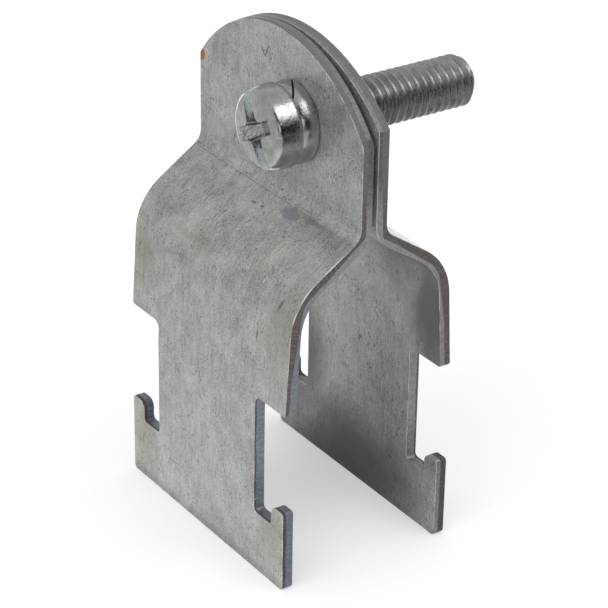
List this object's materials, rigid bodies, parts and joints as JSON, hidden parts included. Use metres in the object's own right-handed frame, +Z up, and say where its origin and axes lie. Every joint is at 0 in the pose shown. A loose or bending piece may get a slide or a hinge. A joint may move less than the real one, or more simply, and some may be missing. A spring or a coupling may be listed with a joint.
{
  "type": "strut pipe clamp",
  "caption": "Strut channel pipe clamp: folded steel halves with hooked feet for the channel's slot, drawn together round a pipe by a cross-recessed screw with a spring washer.",
  "frame": {"origin": "on the plane of the feet, in the parting plane between the ears, half way along the strap's width", "axes": "+X along the pipe, +Y along the screw from head to tip, +Z up from the feet to the ears"},
  "size_m": [0.0318, 0.0318, 0.0593],
  "materials": {
    "galvanised_sheet": "dull galvanised with mill streaks",
    "zinc_plated_steel": "bright zinc"
  },
  "bodies": {
    "back_clamp": {"back_half": "galvanised_sheet"},
    "washer": {"spring_washer": "zinc_plated_steel"},
    "screw": {"screw": "zinc_plated_steel"},
    "front_clamp": {"front_half": "galvanised_sheet"}
  },
  "joints": [
    {"name": "take_up", "type": "slide", "parent": "back_clamp", "child": "washer", "axis": [0, 1, 0], "range_m": [-0.016, 0.0005]},
    {"name": "screw_turn", "type": "hinge", "parent": "washer", "child": "screw", "pos_m": [0.00355, 0, 0.0499], "axis": [0, 1, 0], "range_deg": [-5761, 181]},
    {"name": "front_half_swivel", "type": "hinge", "parent": "washer", "child": "front_clamp", "pos_m": [0.00355, 0, 0.0499], "axis": [0, 1, 0], "continuous": true}
  ],
  "couplings": [
    {"joint": "screw_turn", "follows": "take_up", "rad_per_m": 6283.2}
  ]
}
